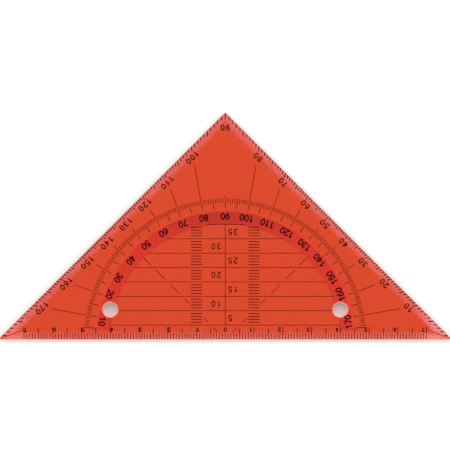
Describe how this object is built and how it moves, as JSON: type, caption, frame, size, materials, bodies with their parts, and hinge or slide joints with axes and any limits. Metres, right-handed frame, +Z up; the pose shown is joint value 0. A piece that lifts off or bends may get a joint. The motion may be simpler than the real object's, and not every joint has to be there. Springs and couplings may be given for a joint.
{
  "type": "set square",
  "caption": "Tinted right-angled set square with a protractor, bevelled edges, a millimetre scale and filing holes.",
  "frame": {"origin": "zero point of the scales: middle of the long drawing edge, on the underside", "axes": "+X along the long edge, +Y to the right-angled corner, +Z up out of the printed face"},
  "size_m": [0.1572, 0.0789, 0.002],
  "materials": {
    "tinted_plastic": "clear tinted, polished",
    "black_ink": "printed ink",
    "red_ink": "translucent printed ink"
  },
  "bodies": {
    "root": {"plate": "tinted_plastic", "millimetre_scale": "black_ink", "protractor_ticks": "black_ink", "ten_degree_rays": "black_ink", "leg_degree_ticks_right": "black_ink", "leg_degree_ticks_left": "black_ink", "parallel_lines": "black_ink", "centre_line": "black_ink", "millimetre_ladder_left": "black_ink", "millimetre_ladder_right": "black_ink", "diagonal_dashes_left": "black_ink", "diagonal_dashes_right": "black_ink", "numeral_band": "red_ink"}
  },
  "joints": []
}
